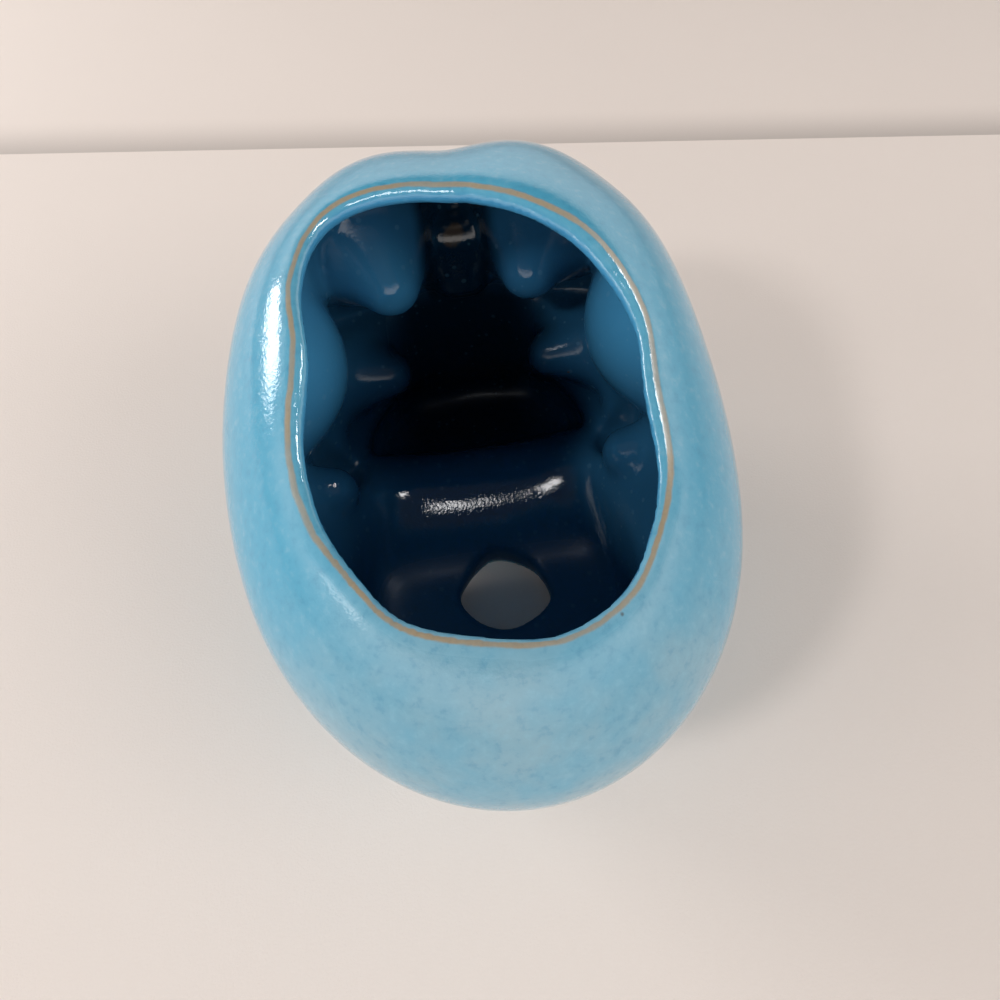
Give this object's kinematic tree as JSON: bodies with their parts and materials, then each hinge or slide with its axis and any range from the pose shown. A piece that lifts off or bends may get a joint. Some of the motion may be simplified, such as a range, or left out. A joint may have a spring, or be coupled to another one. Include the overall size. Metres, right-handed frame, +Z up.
{
  "type": "skull planter",
  "caption": "Turquoise-glazed stoneware plant pot cast as a hollow skull, its crown cut open for a plant and its floor holed to drain, on stick-on pads.",
  "frame": {"origin": "centre of the overall box in plan, on the surface that the pads stand on", "axes": "+Z up, +Y towards the back of the head, -Y the way the face looks, +X the skull's own left side"},
  "size_m": [0.1187, 0.1605, 0.1206],
  "materials": {
    "turquoise_glaze": "glossy turquoise glaze over brown stoneware, breaking to bare clay along the rim",
    "pad_rubber": "matt pale rubber"
  },
  "bodies": {
    "root": {"skull_shell": "turquoise_glaze", "pad_jaw_left": "pad_rubber", "pad_jaw_right": "pad_rubber", "pad_rear_left": "pad_rubber", "pad_rear_right": "pad_rubber"}
  },
  "joints": []
}
